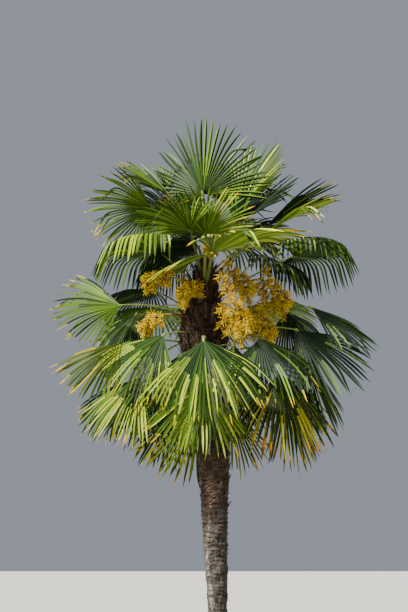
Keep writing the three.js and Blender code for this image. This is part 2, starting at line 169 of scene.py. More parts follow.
# Each flower panicle: stalk azimuth, stalk height on the trunk, stalk rise, stalk reach,
# mass azimuth, mass rise, mass length, mass radius, spikes of the solid.
PANICLES = [
    (312, 3.740, 28, 0.330, 318, -50, 0.300, 0.120, 11),
    (342, 3.660, 20, 0.520, 340, -50, 0.290, 0.115, 11),
    (302, 3.560, 4, 0.410, 314, -64, 0.250, 0.120, 11),
    (330, 3.520, 4, 0.490, 328, -72, 0.230, 0.105, 10),
    (216, 3.680, 26, 0.400, 195, -20, 0.200, 0.080, 9),
    (210, 3.500, 2, 0.430, 205, -45, 0.180, 0.072, 9),
    (248, 3.660, 28, 0.260, 232, -40, 0.210, 0.085, 9),
    (290, 4.040, 20, 0.170, 262, -20, 0.130, 0.052, 7),
]
BRANCHES_PER_SPIKE = 3
TWIGS_PER_BRANCH = 18
FLOWERS_PER_TWIG = 11
FLOWER_OFFSET = 0.0026
SPIKE_REACH = 1.25

# Material slots of the bark, the leaf stalks, the flowers and the panicles' stalks
BARK_LOW, BARK_MAT, BARK_HEAD, BARK_RIDGE = range(4)
STALK_FOOT, STALK_GREEN, STALK_PALE, STALK_TOOTH = range(4)
FLOWER_PALE, FLOWER_GOLD, FLOWER_STEM, FLOWER_DEEP = range(4)
PANICLE_STALK, PANICLE_BRANCH, PANICLE_BRACT = range(3)

# Camera, as the photograph was taken
CAMERA_PLACE = (-0.094, -8.2, 1.6)
CAMERA_PITCH = 14
LENS = 60
SENSOR = 36

# Stage
FLOOR_HALF = 150


def direction(azimuth, rise):
    """Unit vectors, in degrees from +X round +Z and degrees above the level."""
    a = np.radians(azimuth)
    r = np.radians(rise)
    parts = np.broadcast_arrays(np.cos(r) * np.cos(a), np.cos(r) * np.sin(a), np.sin(r))
    return np.stack(parts, -1)


def unit(v):
    return v / np.linalg.norm(v, axis=-1, keepdims=True)


def lerp(a, b, t):
    """The value at share t of the way from a to b."""
    return a + (b - a) * t


def smooth(x, low, high):
    """0 up to low, 1 from high on and an even S between them."""
    t = np.clip((np.asarray(x, float) - low) / (high - low), 0, 1)
    return t * t * (3 - 2 * t)


def turned(v, axis, degrees):
    """v turned about a unit axis."""
    a = math.radians(degrees)
    kept = axis * np.dot(axis, v) * (1 - math.cos(a))
    return v * math.cos(a) + np.cross(axis, v) * math.sin(a) + kept


def column(values):
    """The values with one more axis, ready to multiply vectors."""
    return np.asarray(values, float)[..., None]


class Pile:
    """Closed solids gathered into one mesh, with a colour number for each face."""

    def __init__(self):
        self.points = []
        self.faces = []
        self.tones = []
        self.count = 0

    def add(self, points, faces, tones):
        """points: copies x corners x 3. faces: triangles of one copy. tones: copies x faces."""
        copies, corners = points.shape[:2]
        starts = self.count + corners * np.arange(copies)
        self.points.append(points.reshape(-1, 3))
        self.faces.append((faces[None] + starts[:, None, None]).reshape(-1, 3))
        self.tones.append(np.broadcast_to(tones, (copies, len(faces))).reshape(-1))
        self.count += copies * corners

    def loft(self, rings, tones):
        """rings: copies x rings x corners x 3. tones: copies x spans x corners, or one number."""
        copies, levels, corners = rings.shape[:3]
        tones = np.broadcast_to(tones, (copies, levels - 1, corners))
        caps = corners - 2
        sides = np.repeat(tones.reshape(copies, -1), 2, axis=1)
        first = np.repeat(tones[:, 0, :1], caps, axis=1)
        last = np.repeat(tones[:, -1, :1], caps, axis=1)
        points = rings.reshape(copies, levels * corners, 3)
        self.add(points, loft_faces(levels, corners), np.concatenate([sides, first, last], 1))


def loft_faces(levels, corners):
    """Triangles of a closed tube of rings; the caps are fans about corner 1."""
    faces = []
    for level in range(levels - 1):
        for k in range(corners):
            a = level * corners + k
            b = level * corners + (k + 1) % corners
            faces.append((a, b, b + corners))
            faces.append((a, b + corners, a + corners))
    last = (levels - 1) * corners
    fan = [(1, (k + 1) % corners, (k + 2) % corners) for k in range(1, corners - 1)]
    faces += [(a, c, b) for a, b, c in fan]
    faces += [(last + a, last + b, last + c) for a, b, c in fan]
    return np.array(faces)


def add_piece(name, pile, materials, nodes, shaded_smooth=False):
    """One mesh on the tree's only body, in place of the named nodes."""
    mesh = bpy.data.meshes.new(name)
    points = np.concatenate(pile.points)
    faces = np.concatenate(pile.faces)
    mesh.from_pydata(points.tolist(), [], faces.tolist())
    for material in materials:
        mesh.materials.append(material)
    mesh.polygons.foreach_set("material_index", np.concatenate(pile.tones).astype(np.int32))
    if shaded_smooth:
        mesh.shade_smooth()
    mesh.update()
    piece = bpy.data.objects.new(name, mesh)
    bpy.context.scene.collection.objects.link(piece)
    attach(piece, "root")
    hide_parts(*nodes)


def plain_material(name, colour, roughness, specular=0.5):
    material = bpy.data.materials.new(name)
    material.use_nodes = True
    shader = material.node_tree.nodes["Principled BSDF"]
    shader.inputs["Base Color"].default_value = (*colour, 1)
    shader.inputs["Roughness"].default_value = roughness
    shader.inputs["Specular IOR Level"].default_value = specular
    material.diffuse_color = (*colour, 1)
    return material


def patterned_material(name, dark, pale, scale, stretch, roughness, bump):
    """Two colours mixed by stretched noise in the piece's own coordinates, with a bump."""
    material = plain_material(name, dark, roughness, 0.25)
    tree = material.node_tree
    nodes = tree.nodes
    links = tree.links
    shader = nodes["Principled BSDF"]
    place = nodes.new("ShaderNodeTexCoord")
    mapping = nodes.new("ShaderNodeMapping")
    mapping.inputs["Scale"].default_value = stretch
    noise = nodes.new("ShaderNodeTexNoise")
    noise.inputs["Scale"].default_value = scale
    noise.inputs["Detail"].default_value = 8
    noise.inputs["Roughness"].default_value = 0.65
    ramp = nodes.new("ShaderNodeValToRGB")
    ramp.color_ramp.elements[0].position = 0.34
    ramp.color_ramp.elements[0].color = (*dark, 1)
    ramp.color_ramp.elements[1].position = 0.66
    ramp.color_ramp.elements[1].color = (*pale, 1)
    raised = nodes.new("ShaderNodeBump")
    raised.inputs["Strength"].default_value = bump
    raised.inputs["Distance"].default_value = 0.003
    links.new(place.outputs["Object"], mapping.inputs["Vector"])
    links.new(mapping.outputs["Vector"], noise.inputs["Vector"])
    links.new(noise.outputs["Fac"], ramp.inputs["Fac"])
    links.new(ramp.outputs["Color"], shader.inputs["Base Color"])
    links.new(noise.outputs["Fac"], raised.inputs["Height"])
    links.new(raised.outputs["Normal"], shader.inputs["Normal"])
    return material


def trunk_axis(z):
    """Points on the leaning middle line of the trunk at the heights z."""
    z = np.asarray(z, float)
    lean = LEAN_SHIFT * smooth(z, LEAN_START, LEAN_END)
    sway = 0.012 * np.sin(z / 0.52) * smooth(z, 0, 0.9)
    return np.stack([lean + sway, np.zeros_like(z), z], -1)


def trunk_radius(z):
    return np.interp(z, TRUNK_RADII[:, 0], TRUNK_RADII[:, 1])


def trunk_noise(rng, azimuths, heights, cells_round, cell_height):
    """Smooth noise from 0 to 1 that closes round the trunk."""
    cells_up = int(TRUNK_TOP / cell_height) + 2
    grid = rng.random((cells_up + 1, cells_round))
    u = np.asarray(azimuths, float) / 360 * cells_round
    v = np.clip(np.asarray(heights, float) / cell_height, 0, cells_up - 1e-6)
    u0 = np.floor(u).astype(int)
    v0 = np.floor(v).astype(int)
    fu = smooth(u - u0, 0, 1)
    fv = smooth(v - v0, 0, 1)
    left = u0 % cells_round
    right = (u0 + 1) % cells_round
    low = lerp(grid[v0, left], grid[v0, right], fu)
    high = lerp(grid[v0 + 1, left], grid[v0 + 1, right], fu)
    return lerp(low, high, fv)


def ridge_turn(azimuths, heights):
    """Degrees from the pale ridge that climbs the front of the trunk."""
    return (azimuths - RIDGE_AZIMUTH - 12 * np.sin(heights * 7) + 180) % 360 - 180


def ridge_width(heights):
    """Degrees over which the ridge fades out: a broad swell low down, a narrow rib above."""
    return lerp(16, 6, smooth(heights, 1.5, 1.7))


def trunk_relief(azimuths, heights):
    """How far the bark stands in or out of the trunk's plain radius."""
    rng = np.random.default_rng(11)

    def noise(cells_round, cell_height):
        return trunk_noise(rng, azimuths, heights, cells_round, cell_height)

    lumps = noise(6, 0.16) - 0.5
    wander = noise(5, 0.09)
    cracks = noise(40, 0.05) - 0.5
    strands = noise(26, 0.014) - 0.5
    tufts = noise(34, 0.026) - 0.5
    knots = noise(11, 0.07)
    grain = noise(64, 0.02) - 0.5
    scars = np.abs(np.sin(np.pi * (heights / SCAR_SPACING + 1.6 * wander))) ** 0.6 - 0.6
    width = ridge_width(heights)
    ridge = np.exp(-((ridge_turn(azimuths, heights) / width) ** 2)) * (0.6 + 0.8 * knots)
    ridge *= 1 - smooth(heights, MAT_LOW, 2.2)
    low = 1 - smooth(heights, 1.45, 1.8)
    shaggy = smooth(heights, 2.2, 2.6)
    middle = (1 - low) * (1 - shaggy)
    cracked = 0.004 * scars + 0.009 * cracks + 0.016 * (knots - 0.5)
    ringed = 0.008 * scars + 0.010 * strands + 0.004 * cracks
    tufted = 0.016 * tufts + 0.010 * strands + 0.008 * (knots - 0.5)
    relief = 0.008 * lumps + 0.0022 * grain
    relief += low * cracked + 0.0009 * width * ridge
    relief += middle * ringed
    relief += shaggy * tufted
    return relief * smooth(heights, -0.02, 0.03)


def trunk_surface(azimuths, heights, out=0.0):
    """Points on the bark, or this far out of it."""
    lump = 1 + 0.03 * np.sin(np.radians(2 * azimuths + heights * 210))
    radius = trunk_radius(heights) * lump + trunk_relief(azimuths, heights) + out
    return trunk_axis(heights) + direction(azimuths, 0) * column(radius)


def build_bark():
    """The whole trunk: bare bark, the fibre mat over it, the dark head and the pale ridge (partly
    painted highlight).
    """
    heights = np.linspace(0, TRUNK_TOP, TRUNK_ROWS)
    azimuths = np.arange(TRUNK_COLUMNS) * 360 / TRUNK_COLUMNS
    turn, height = np.meshgrid(azimuths, heights)
    ragged = height + (0.10 * np.sin(turn / 17) + 0.07 * np.sin(turn / 5 + height * 40))
    zones = np.select([ragged > HEAD_LOW, ragged > MAT_LOW], [BARK_HEAD, BARK_MAT], BARK_LOW)
    # Painted highlight: patches of pale colour along the ridge on the front left, where the key
    # light falls; the ridge's bark is partly paler of its own.
    near = np.abs(ridge_turn(turn, height)) < 0.8 * ridge_width(height)
    patches = np.sin(height * 90 + 2 * np.sin(height * 37)) > -0.5
    zones[near & patches & (zones == BARK_LOW)] = BARK_RIDGE
    pile = Pile()
    pile.loft(trunk_surface(turn, height)[None], zones[None, :-1])
    return pile


def build_stubs(rng):
    """Old leaf bases: broad at the foot, torn to a point that stands off the trunk."""
    pile = Pile()
    index = np.arange(STUB_COUNT)
    heights = lerp(STUB_LOW, STUB_HIGH, (index + 0.5) / STUB_COUNT)
    azimuths = (index * GOLDEN_TURN) % 360
    out = direction(azimuths, 0)
    side = np.cross(UP, out)
    foot = trunk_axis(heights) + out * column(trunk_radius(heights) - STUB_SUNK)
    length = rng.uniform(0.045, 0.095, STUB_COUNT) * lerp(0.6, 1, smooth(heights, 2.0, 2.5))
    lean = rng.uniform(0.30, 0.62, STUB_COUNT)
    sway = rng.uniform(-0.25, 0.25, STUB_COUNT)
    shares = np.array([0, 0.25, 0.55, 0.8, 1])
    half_width = np.array([0.024, 0.021, 0.014, 0.008, 0.0015])
    half_depth = np.array([0.008, 0.008, 0.006, 0.004, 0.001])
    angles = np.radians(330 - np.arange(6) * 60)
    rings = []
    for share, wide, deep in zip(shares, half_width, half_depth):
        rise = column(length * (share - 0.35))
        away = column(0.016 + length * lean * share ** 1.4)
        drift = column(length * sway * share)
        centre = foot + UP * rise + out * away + side * drift
        spread = side[:, None] * (wide * np.cos(angles))[None, :, None]
        thick = out[:, None] * (deep * np.sin(angles))[None, :, None]
        rings.append(centre[:, None] + spread + thick)
    tones = rng.integers(0, 3, (STUB_COUNT, 1, 1))
    pile.loft(np.stack(rings, 1), np.broadcast_to(tones, (STUB_COUNT, 4, 6)))
    return pile


def build_hairs(rng):
    """Loose hairs of the leaf sheaths, denser towards the crown."""
    pile = Pile()
    heights = lerp(HAIR_LOW, HAIR_HIGH, rng.random(HAIR_COUNT) ** 0.62)
    azimuths = rng.uniform(0, 360, HAIR_COUNT)
    start = trunk_surface(azimuths, heights, -HAIR_SUNK)
    out = direction(azimuths, 0)
    side = np.cross(UP, out) * column(rng.choice([-1, 1], HAIR_COUNT))
    rough = smooth(heights, 1.8, 2.8)
    length = rng.uniform(0.04, 0.11, HAIR_COUNT) * lerp(0.6, 1.1, rough)
    slant = rng.uniform(-0.3, 1.0, HAIR_COUNT)
    along = unit(side + UP * column(slant))
    lift = length * rng.uniform(0.05, 0.6, HAIR_COUNT) * lerp(0.4, 1, smooth(heights, 1.7, 2.3))
    width = rng.uniform(0.0010, 0.0026, HAIR_COUNT)
    width[::25] *= 2.4
    across = np.cross(along, out)
    rings = []
    for share in (0, 0.35, 0.7, 1):
        inward = -out * column((length * share) ** 2 / (2 * trunk_radius(heights)))
        away = lift * share ** 1.5 + HAIR_SUNK
        centre = start + along * column(length * share) + out * column(away) + inward
        size = column(width * (1.15 - share))
        corners = [across * size * math.cos(a) + out * size * math.sin(a) for a in (4.7, 2.6, 0.5)]
        rings.append(np.stack([centre + corner for corner in corners], 1))
    tones = rng.integers(0, 4, (HAIR_COUNT, 1, 1))
    pile.loft(np.stack(rings, 1), np.broadcast_to(tones, (HAIR_COUNT, 3, 3)))
    return pile


def fold_rings(centre, across, above, half, depth, thickness):
    """Cross-sections of a folded blade: an edge, the crease, the other edge, the crease's back.

    The crease lies this depth behind the edges, seen from above, and its back behind it.
    """
    half = column(half)
    depth = column(depth)
    left = centre + across * half
    right = centre - across * half
    crease = centre - above * depth
    return np.stack([left, crease, right, crease - above * thickness], -2)


def build_sheaths(rng):
    """Torn brown sheaths round the head of the trunk."""
    pile = Pile()
    index = np.arange(SHEATH_COUNT)
    heights = lerp(SHEATH_LOW, SHEATH_HIGH, (index + 0.5) / SHEATH_COUNT)
    azimuths = (index * GOLDEN_TURN + rng.uniform(-12, 12, SHEATH_COUNT)) % 360
    out = direction(azimuths, 0)
    side = np.cross(UP, out)
    length = rng.uniform(0.05, 0.15, SHEATH_COUNT)
    lean = rng.uniform(0.05, 0.75, SHEATH_COUNT)
    sway = rng.uniform(-0.4, 0.4, SHEATH_COUNT)
    width = rng.uniform(0.007, 0.020, SHEATH_COUNT)
    start = trunk_axis(heights) + out * column(trunk_radius(heights) - SHEATH_SUNK)
    shares = np.array([0, 0.2, 0.4, 0.6, 0.8, 1])
    profile = np.array([0.8, 1, 0.95, 0.75, 0.45, 0.06])
    rings = []
    for share, wide in zip(shares, profile):
        climb = heights + length * share
        thinner = np.minimum(trunk_radius(climb), trunk_radius(heights))
        inward = trunk_axis(climb) + out * column(thinner) - start
        away = length * lean * share ** 2 + 0.008
        upright = start + UP * column(length * share)
        leaning = upright + inward * np.array([1, 1, 0]) * 0.7 * share
        centre = leaning + out * column(away) + side * column(length * sway * share)
        rings.append(fold_rings(centre, side, out, width * wide, -width * wide * 0.35, -0.003))
    tones = rng.integers(0, 4, (SHEATH_COUNT, 1, 1))
    pile.loft(np.stack(rings, 1), np.broadcast_to(tones, (SHEATH_COUNT, 5, 4)))
    return pile


def leaf_list():
    """Every leaf with its stalk's ends and its blade's axes."""
    leaves = []
    for order, row in enumerate(FRONT_LEAVES):
        leaves.append((FIRST_STALK_HEIGHT - STALK_STEP * order, *row))
    for tier in REAR_TIERS:
        count, height, first, last, rise, reach, blade_rise, *blade = tier
        for k in range(count):
            azimuth = lerp(first, last, k / (count - 1))
            own_reach = reach * (1 + 0.06 * math.cos(k * 2.1))
            own_height = height - 0.014 * k
            roll = 14 * math.sin(k * 1.9 + height * 1000)
            stalk = (own_height, azimuth, rise, own_reach)
            leaves.append((*stalk, azimuth, blade_rise, roll, *blade))
    names = (
        "height", "azimuth", "rise", "reach", "blade_azimuth", "blade_rise", "roll",
        "radius", "droop", "spread", "tone", "tips",
    )
    made = []
    for index, values in enumerate(leaves):
        leaf = dict(zip(names, values))
        leaf["node"] = f"leaf_{index + 1:02d}"
        leaf["root"] = trunk_axis(leaf["height"])
        leaf["hub"] = leaf["root"] + direction(leaf["azimuth"], leaf["rise"]) * leaf["reach"]
        leaf["forward"] = direction(leaf["blade_azimuth"], leaf["blade_rise"])
        flat_normal = direction(leaf["blade_azimuth"], leaf["blade_rise"] + 90)
        leaf["normal"] = turned(flat_normal, leaf["forward"], leaf["roll"])
        leaf["side"] = np.cross(leaf["forward"], leaf["normal"])
        made.append(leaf)
    return made


def segment_angles(leaf, count):
    """Degrees of each segment from the middle of the fan."""
    step = 2 * leaf["spread"] / count
    return -leaf["spread"] + step * (np.arange(count) + 0.5)


def spokes(leaf, angles):
    """Directions of the segments. The fan's halves fold up on a rising leaf, else down."""
    a = np.radians(angles)
    fold = math.radians(FOLD_ANGLE) * leaf["forward"][2]
    flat = leaf["forward"] * column(np.cos(a)) + leaf["side"] * column(np.sin(a) * math.cos(fold))
    folded = flat + leaf["normal"] * column(np.abs(np.sin(a)) * math.sin(fold))
    cup = math.radians(CUP_ANGLE)
    return folded * math.cos(cup) + leaf["normal"] * math.sin(cup)


def outward_sides(leaf, angles):
    """Across each segment, in the plane of its half of the fan, towards smaller angles."""
    a = np.radians(angles)
    fold = math.radians(FOLD_ANGLE) * leaf["forward"][2]
    hand = np.sign(angles)
    across = leaf["side"] * column(np.cos(a) * math.cos(fold)) - leaf["forward"] * column(np.sin(a))
    return -unit(across + leaf["normal"] * column(hand * np.cos(a) * math.sin(fold)))


def full_lengths(leaf, angles):
    """From the knuckle to the tips, shorter towards the sides."""
    return leaf["radius"] * (1 - SIDE_SHORTENING * np.abs(angles / WIDEST_SPREAD) ** 1.6)


def split_lengths(leaf, angles):
    """From the knuckle to where the segments of the solid part."""
    return leaf["radius"] * lerp(SPLIT_CENTRE, SPLIT_SIDE, (angles / WIDEST_SPREAD) ** 2)


def segment_paths(leaf, angles, distances, droop, sway, kink):
    """Points and headings along drooping segments: segments x stations x 3."""
    start = spokes(leaf, angles)
    full = full_lengths(leaf, angles)
    outward = outward_sides(leaf, angles)
    point = np.broadcast_to(leaf["hub"], start.shape).copy()
    before = np.zeros(len(angles))
    points = []
    headings = []

    def heading_at(travelled):
        share = travelled / full
        sag = droop * smooth(share, 0.3, 0.9) + kink * smooth(share, 0.55, 0.75)
        bent = start - UP * column(sag) + outward * column(sway * smooth(share, 0.4, 1))
        return unit(bent)

    for station in range(distances.shape[1]):
        stride = (distances[:, station] - before) / 4
        for part in range(4):
            point = point + heading_at(before + stride * (part + 0.5)) * column(stride)
        before = distances[:, station]
        points.append(point)
        headings.append(heading_at(before))
    return np.stack(points, 1), np.stack(headings, 1)


def solid_factors(leaf):
    """How much of its length each segment of the leaf's solid keeps, found at its tips."""
    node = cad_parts[leaf["node"]].data
    corners = [v.co for v in node.vertices]
    tree = BVHTree.FromPolygons(corners, [p.vertices for p in node.polygons])
    count = round(2 * leaf["spread"] / SEGMENT_STEP)
    angles = segment_angles(leaf, count)
    split = split_lengths(leaf, angles)
    full = full_lengths(leaf, angles)
    distances = np.stack([lerp(split, full, f) for f in reversed(LENGTH_FACTORS)], 1)
    still = np.zeros(count)
    tips, _ = segment_paths(leaf, angles, distances, np.full(count, leaf["droop"]), still, still)
    factors = np.zeros(count)
    for k in range(count):
        for level, factor in enumerate(LENGTH_FACTORS):
            tip = tips[k, len(LENGTH_FACTORS) - 1 - level]
            if tree.find_nearest(tip.tolist())[3] < TIP_TOLERANCE:
                factors[k] = factor
                break
    return factors


# Blade colours, one plain material each. The greens are partly the leaves' own colour and
# partly painted light: deep and blue are near-black greens that stand in for shade, lime and
# pale are the colours of sunlit faces, and pale is also the painted highlight of the stripes.
# Olive, under and the dry colours of the tips are the leaves' own; straw also serves as
# painted highlight on olive leaves.
LEAF_TONES = {
    "deep": ((0.005, 0.017, 0.002), 0.50),
    "mid": ((0.026, 0.058, 0.004), 0.50),
    "bright": ((0.085, 0.150, 0.010), 0.50),
    "lime": ((0.215, 0.310, 0.016), 0.50),
    "blue": ((0.004, 0.014, 0.004), 0.50),
    "olive": ((0.058, 0.070, 0.004), 0.50),
    "under": ((0.022, 0.048, 0.006), 0.60),
    "pale": ((0.330, 0.370, 0.035), 0.45),
    "straw": ((0.240, 0.220, 0.006), 0.55),
    "yellow": ((0.480, 0.290, 0.004), 0.55),
    "orange": ((0.300, 0.140, 0.004), 0.60),
    "brown": ((0.090, 0.038, 0.006), 0.65),
}
TONE_NAMES = list(LEAF_TONES)

# For the colour of a leaf: the colours dealt out to its segments, the painted shade on their
# shady flanks, the colours of their undersides, and the painted highlight on the stripes where
# they shine.
SEGMENT_TONES = {
    "deep": ("deep", "deep", "deep", "mid"),
    "mid": ("mid", "mid", "deep", "bright"),
    "bright": ("bright", "bright", "mid", "lime"),
    "lime": ("lime", "lime", "bright", "pale"),
    "blue": ("blue", "blue", "deep", "mid"),
    "olive": ("olive", "olive", "mid", "bright"),
    "pale": ("pale", "bright", "pale", "mid"),
    "striped": ("mid", "mid", "bright", "bright", "lime"),
}
SHADY_TONES = {
    "deep": "blue", "mid": "deep", "bright": "mid", "lime": "mid",
    "blue": "blue", "olive": "deep", "pale": "deep", "striped": "deep",
}
UNDER_TONES = {
    "deep": "blue", "mid": "under", "bright": "bright", "lime": "bright",
    "blue": "under", "olive": "olive", "pale": "under", "striped": "under",
}
GLINT_TONES = {
    "deep": "bright", "mid": "bright", "bright": "lime", "lime": "pale",
    "blue": "bright", "olive": "straw", "pale": "pale", "striped": "pale",
}

# For the colour of the tips: the part of the length that dries, the share of segments that
# do, and the colours from green to dry.
DRY_TIPS = {
    "yellow": (0.20, 0.75, ("olive", "straw", "yellow")),
    "orange": (0.20, 0.55, ("straw", "yellow", "orange")),
    "brown": (0.28, 0.7, ("straw", "orange", "brown")),
}

# Flanks of a folded segment, in the order of its faces
TOP_LEFT, TOP_RIGHT, UNDER_RIGHT, UNDER_LEFT = range(4)

# Stations along a segment: while it is fused to its neighbours, and where it is free
FUSED_SHARES = np.array([0.05, 0.3, 0.65, 1])
FREE_SHARES = np.array([
    0.05, 0.12, 0.22, 0.34, 0.46, 0.56, 0.65, 0.73, 0.8, 0.86, 0.91, 0.95, 0.98, 1,
])


def tone(name):
    return TONE_NAMES.index(name)


def hangs(leaf):
    return leaf["blade_rise"] < HANGING_RISE


def grow_blade(pile, leaf, rng):
    """A fan of folded segments, finer than the solid's."""
    factors = solid_factors(leaf)
    finer = GLINT_STRIPED_SEGMENTS if leaf["tone"] == "striped" else FINER_SEGMENTS
    count = len(factors) * finer
    angles = segment_angles(leaf, count)
    factor = np.maximum(np.repeat(factors, finer), LEAST_SHARE)
    full = full_lengths(leaf, angles)
    split = split_lengths(leaf, angles)
    free_from = split * FINE_SPLIT * rng.uniform(0.82, 1.12, count)
    least = LEAST_HANGING_REACH if hangs(leaf) else LEAST_REACH
    tip = lerp(split, full, factor * rng.uniform(least, 1.0, count))
    fused = column(free_from) * FUSED_SHARES
    free = column(free_from) + column(tip - free_from) * FREE_SHARES
    distances = np.concatenate([fused, free], 1)
    share = np.concatenate([np.zeros(len(FUSED_SHARES)), FREE_SHARES])
    centre, heading = segment_paths(leaf, angles, distances, *segment_bends(leaf, count, rng))
    across, above = segment_frames(leaf, angles, heading, share, rng)
    half_step = math.sin(math.radians(leaf["spread"] / count))
    taper = (1 + 0.30 * share) * (1 - 0.985 * share ** 5)
    wide = np.minimum(distances, column(free_from)) * half_step * taper
    fold = wide * lerp(0.60, 0.80, smooth(share, 0, 0.2))
    rings = fold_rings(centre, across, above, wide, fold, SEGMENT_THICKNESS)
    shares = distances / column(full)
    middle = (shares[:, 1:] + shares[:, :-1]) / 2
    tones = blade_tones(leaf, middle, rng)
    light_flanks(tones, leaf, middle, rng)
    if leaf["tone"] == "striped":
        shade_heart(tones, middle, rng)
    if leaf["tips"] != "none":
        dry_tips(tones, leaf, middle, tip / full, rng)
    pile.loft(rings, tones)


def segment_bends(leaf, count, rng):
    """Droop, sideways sway and sudden kinks of the segments."""
    droop = leaf["droop"] + rng.uniform(-0.06, 0.10, count)
    sway = rng.normal(0, 0.15 if hangs(leaf) else 0.09, count)
    kink = np.where(rng.random(count) < 0.12, rng.uniform(0.3, 1.4, count), 0)
    if leaf["droop"] > LIMP_DROOP:
        kink = rng.uniform(1.0, 3.0, count)
    return droop, sway, kink


def segment_frames(leaf, angles, heading, share, rng):
    """Directions across and above each segment, which twists a little towards its tip."""
    outward = outward_sides(leaf, angles)[:, None]
    across = unit(outward - heading * np.sum(outward * heading, -1, keepdims=True))
    above = np.cross(heading, across)
    twist = column(rng.normal(0, 0.30, len(angles))) * share ** 1.5
    cosine = column(np.cos(twist))
    sine = column(np.sin(twist))
    return across * cosine + above * sine, above * cosine - across * sine


def blade_tones(leaf, middle, rng):
    """Colour numbers of each segment's faces: segments x spans x four flanks.

    middle: how far along the full length each span's middle lies, segments x spans.
    """
    count, spans = middle.shape
    choices = [tone(name) for name in SEGMENT_TONES[leaf["tone"]]]
    top = rng.choice(choices, count)
    under = np.where(rng.random(count) < 0.7, tone(UNDER_TONES[leaf["tone"]]), top)
    # Painted shade: most segments take the shady colour on their top left flank.
    left = np.where(rng.random(count) < 0.8, tone(SHADY_TONES[leaf["tone"]]), top)
    tones = np.empty((count, spans, 4), int)
    tones[:, :, TOP_LEFT] = left[:, None]
    tones[:, :, TOP_RIGHT] = top[:, None]
    tones[:, :, UNDER_RIGHT] = under[:, None]
    tones[:, :, UNDER_LEFT] = under[:, None]
    return tones


def light_flanks(tones, leaf, middle, rng):
    """Painted highlights on stretches of some segments' flanks, painted shade under most."""
    count = len(middle)
    striped = leaf["tone"] == "striped"
    shine = tone(GLINT_TONES[leaf["tone"]])
    wave = np.sin(np.arange(count) * 0.45 + leaf["azimuth"])
    glint_from = 0.38 + 0.12 * column(wave) + rng.uniform(-0.08, 0.08, (count, 1))
    glint_to = rng.uniform(0.85, 1.15, (count, 1))
    glint = (middle > glint_from) & (middle < glint_to)
    lit = glint & (rng.random((count, 1)) < (0.5 if striped else 0.4))
    tones[:, :, TOP_RIGHT][lit] = shine
    lit = glint & (rng.random((count, 1)) < 0.15)
    tones[:, :, TOP_LEFT][lit] = tone("lime") if striped else shine
    dim = rng.random(count) < 0.6
    tones[dim, :, UNDER_LEFT] = tone(SHADY_TONES[leaf["tone"]])
    lit = glint & (rng.random((count, 1)) < 0.35)
    tones[:, :, UNDER_RIGHT][lit] = shine


def shade_heart(tones, middle, rng):
    """Painted shade near the knuckle of a leaf with glint stripes, where the leaves above shade it.
    """
    count = len(middle)
    shaded = middle < rng.uniform(0.22, 0.45, (count, 1))
    heart = rng.choice([tone("deep"), tone("blue"), tone("mid")], (count, 1))
    for flank in (TOP_LEFT, TOP_RIGHT):
        tones[:, :, flank] = np.where(shaded, heart, tones[:, :, flank])


def dry_tips(tones, leaf, middle, reach, rng):
    """Colours the drying ends of the segments that keep most of their length."""
    length, chance, stages = DRY_TIPS[leaf["tips"]]
    count = len(reach)
    dries = (rng.random(count) < chance) & (reach > 0.75)
    starts = 1 - length * rng.uniform(0.15, 1.0, count)
    for stage, name in enumerate(stages):
        dry_from = starts + (stage - 1) * 0.4 * length * (1 - stage * 0.1)
        dry = (middle > dry_from[:, None]) & dries[:, None]
        for flank in (TOP_RIGHT, UNDER_LEFT) if stage == 0 else range(4):
            tones[:, :, flank][dry] = tone(name)


def bezier(a, b, c, t):
    t = column(t)
    return a * (1 - t) ** 2 + b * 2 * t * (1 - t) + c * t ** 2


def bezier_heading(a, b, c, t):
    t = column(t)
    return unit((b - a) * (1 - t) + (c - b) * t)


def tube_rings(centre, along, half_width, half_depth, sides):
    """Rings of an oval tube whose corners lie across and above its path."""
    across = unit(np.cross(along, UP))
    above = np.cross(across, along)
    rings = []
    for k in range(sides):
        a = -2 * math.pi * k / sides
        wide = across * column(half_width * math.cos(a))
        deep = above * column(half_depth * math.sin(a))
        rings.append(centre + wide + deep)
    return np.stack(rings, 1)


def grow_stalk(pile, leaf, rng):
    """An arching stalk with a brown foot, and its teeth and knuckle."""
    steep = min(max((leaf["rise"] + 60) / 120, 0), 1)
    arch = leaf["reach"] * lerp(0.2, 0.06, steep)
    bend = lerp(leaf["root"], leaf["hub"], 0.5) + UP * arch
    t = np.linspace(0, 1, 17)
    centre = bezier(leaf["root"], bend, leaf["hub"], t)
    along = bezier_heading(leaf["root"], bend, leaf["hub"], t)
    half = lerp(STALK_BASE_WIDTH, STALK_TIP_WIDTH, t) / 2 * VISIBLE_SHARE
    half[-1] *= 0.7
    rings = tube_rings(centre, along, half, half * STALK_FLATNESS, 8)
    tones = np.full((1, 16, 8), STALK_GREEN if rng.random() < 0.8 else STALK_PALE)
    tones[:, :5] = STALK_FOOT
    pile.loft(rings[None], tones)
    grow_teeth(pile, centre, along, half)
    grow_hub(pile, leaf)


def grow_teeth(pile, centre, along, half):
    """Small teeth along both margins of a stalk."""
    across = unit(np.cross(along, UP))
    share = np.linspace(0.4, 0.95, TEETH_PER_SIDE) * (len(centre) - 1)
    low = np.floor(share).astype(int)
    part = column(share - low)
    at = centre[low] * (1 - part) + centre[low + 1] * part
    for hand in (-1, 1):
        edge = at + across[low] * column(half[low] * hand * 0.95)
        tip = edge + across[low] * 0.006 * hand + along[low] * 0.003
        foot = [edge + along[low] * 0.005, edge - along[low] * 0.005, edge + UP * 0.003]
        corners = np.stack([foot[0], foot[1], foot[2], tip], 1)
        faces = np.array([(0, 1, 2), (0, 3, 1), (1, 3, 2), (2, 3, 0)])
        pile.add(corners, faces if hand > 0 else faces[:, ::-1], STALK_TOOTH)


